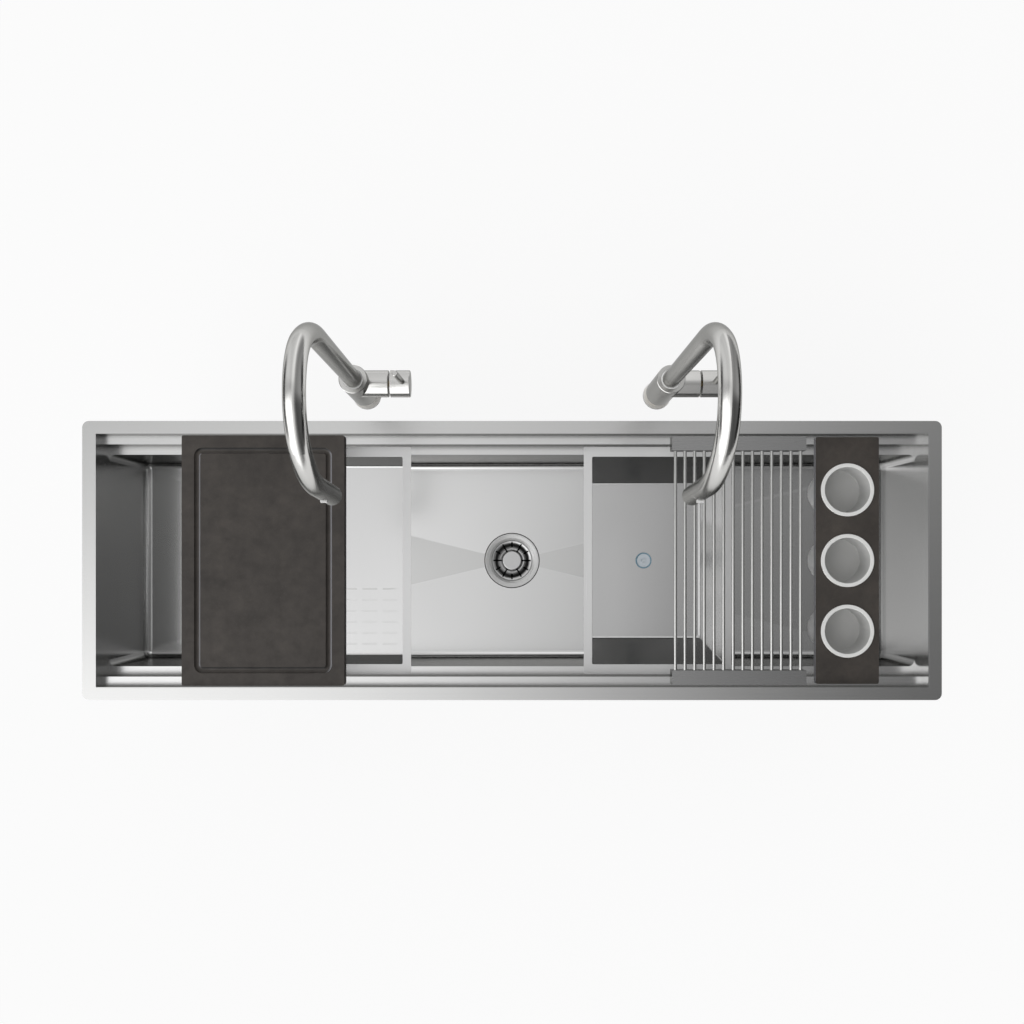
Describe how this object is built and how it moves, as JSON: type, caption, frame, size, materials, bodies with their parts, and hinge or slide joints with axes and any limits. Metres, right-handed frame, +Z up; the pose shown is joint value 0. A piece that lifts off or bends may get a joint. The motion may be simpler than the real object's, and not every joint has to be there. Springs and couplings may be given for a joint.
{
  "type": "workstation kitchen sink",
  "caption": "Long stainless steel workstation sink with two ledge tiers, sliding board, colander, basin, rack and container board, basket drain and two gooseneck taps.",
  "frame": {"origin": "centre of the worktop cut-out, in the plane of the worktop's top, which is the underside of the rim", "axes": "+X along the sink to the right, +Y to the back, towards the taps, +Z up"},
  "size_m": [1.524, 0.5705, 1.0337],
  "materials": {
    "steel_satin": "satin",
    "steel_tray": "satin",
    "steel_plain": "plain",
    "steel_rod": "polished",
    "tap_metal": "satin",
    "brass": "machined",
    "rubber": "matt",
    "silicone": "matt",
    "fibre": "matt",
    "white_plastic": "matt",
    "container": "satin",
    "slate": "fine mottled",
    "plug": "satin"
  },
  "bodies": {
    "sink": {"rim_frame": "steel_satin", "side_walls": "steel_satin", "upper_ledges": "steel_satin", "ledge_risers": "steel_satin", "lower_ledges": "steel_satin", "bowl": "steel_satin", "sound_pads": "rubber", "clip_brackets": "steel_plain", "clip_screws": "steel_plain", "strainer_body": "steel_satin", "drain_gasket": "rubber", "friction_washer": "fibre", "lock_nut": "steel_plain", "tail_washer": "white_plastic", "tailpiece": "steel_satin", "tail_nut": "steel_satin", "tap_base_seals": "rubber", "tap_rubber_washers": "silicone", "tap_clamp_washers": "steel_plain", "tap_nuts": "brass", "left_tap_body": "tap_metal", "left_tap_shank": "brass", "left_tap_cartridge": "white_plastic", "left_tap_bush": "white_plastic", "right_tap_body": "tap_metal", "right_tap_shank": "brass", "right_tap_cartridge": "white_plastic", "right_tap_bush": "white_plastic"},
    "cutting_board": {"cutting_board": "slate"},
    "colander": {"colander": "steel_tray"},
    "basin": {"basin": "steel_tray"},
    "rack": {"rack_bar_back": "steel_satin", "rack_bar_front": "steel_satin", "rack_rods": "steel_rod"},
    "caddy": {"caddy_board": "slate"},
    "container_back": {"container_back_shell": "container", "container_back_liner": "container"},
    "container_middle": {"container_middle_shell": "container", "container_middle_liner": "container"},
    "container_front": {"container_front_shell": "container", "container_front_liner": "container"},
    "strainer_basket": {"strainer_basket": "steel_satin", "basket_post": "steel_plain", "basket_stopper": "rubber"},
    "basin_plug": {"basin_plug": "plug"},
    "left_tap_spout": {"left_tap_spout": "tap_metal", "left_tap_nozzle": "tap_metal", "left_tap_aerator": "steel_plain"},
    "left_tap_knob": {"left_tap_knob": "tap_metal", "left_tap_lever": "tap_metal", "left_tap_stem": "brass"},
    "left_tap_button": {"left_tap_button": "tap_metal"},
    "right_tap_spout": {"right_tap_spout": "tap_metal", "right_tap_nozzle": "tap_metal", "right_tap_aerator": "steel_plain"},
    "right_tap_knob": {"right_tap_knob": "tap_metal", "right_tap_lever": "tap_metal", "right_tap_stem": "brass"},
    "right_tap_button": {"right_tap_button": "tap_metal"}
  },
  "joints": [
    {"name": "board_slide", "type": "slide", "parent": "sink", "child": "cutting_board", "axis": [1, 0, 0], "range_m": [-0.14, 0.2]},
    {"name": "colander_slide", "type": "slide", "parent": "sink", "child": "colander", "axis": [1, 0, 0], "range_m": [-0.26, 0.12]},
    {"name": "basin_slide", "type": "slide", "parent": "sink", "child": "basin", "axis": [1, 0, 0], "range_m": [-0.075, 0.1]},
    {"name": "rack_slide", "type": "slide", "parent": "sink", "child": "rack", "axis": [1, 0, 0], "range_m": [-0.2, 0.006]},
    {"name": "caddy_slide", "type": "slide", "parent": "sink", "child": "caddy", "axis": [1, 0, 0], "range_m": [-0.006, 0.08]},
    {"name": "container_back_lift", "type": "slide", "parent": "caddy", "child": "container_back", "axis": [0, 0, 1], "range_m": [0, 0.13]},
    {"name": "container_middle_lift", "type": "slide", "parent": "caddy", "child": "container_middle", "axis": [0, 0, 1], "range_m": [0, 0.13]},
    {"name": "container_front_lift", "type": "slide", "parent": "caddy", "child": "container_front", "axis": [0, 0, 1], "range_m": [0, 0.13]},
    {"name": "basket_lift", "type": "slide", "parent": "sink", "child": "strainer_basket", "axis": [0, 0, 1], "range_m": [0, 0.28]},
    {"name": "plug_lift", "type": "slide", "parent": "basin", "child": "basin_plug", "axis": [0, 0, 1], "range_m": [0, 0.2]},
    {"name": "left_tap_swivel", "type": "hinge", "parent": "sink", "child": "left_tap_spout", "pos_m": [-0.2615, 0.298, 0.2], "axis": [0, 0, 1], "range_deg": [-90, 90]},
    {"name": "left_tap_valve", "type": "hinge", "parent": "sink", "child": "left_tap_knob", "pos_m": [-0.2045, 0.298, 0.09], "axis": [1, 0, 0], "range_deg": [0, 100]},
    {"name": "left_tap_selector", "type": "slide", "parent": "left_tap_spout", "child": "left_tap_button", "axis": [0, 0.999, -0.0436], "range_m": [0, 0.0015], "stiffness_N_per_m": 400},
    {"name": "right_tap_swivel", "type": "hinge", "parent": "sink", "child": "right_tap_spout", "pos_m": [0.2615, 0.298, 0.2], "axis": [0, 0, 1], "range_deg": [-90, 90]},
    {"name": "right_tap_valve", "type": "hinge", "parent": "sink", "child": "right_tap_knob", "pos_m": [0.3185, 0.298, 0.09], "axis": [1, 0, 0], "range_deg": [0, 100]},
    {"name": "right_tap_selector", "type": "slide", "parent": "right_tap_spout", "child": "right_tap_button", "axis": [0, 0.999, -0.0436], "range_m": [0, 0.0015], "stiffness_N_per_m": 400}
  ]
}
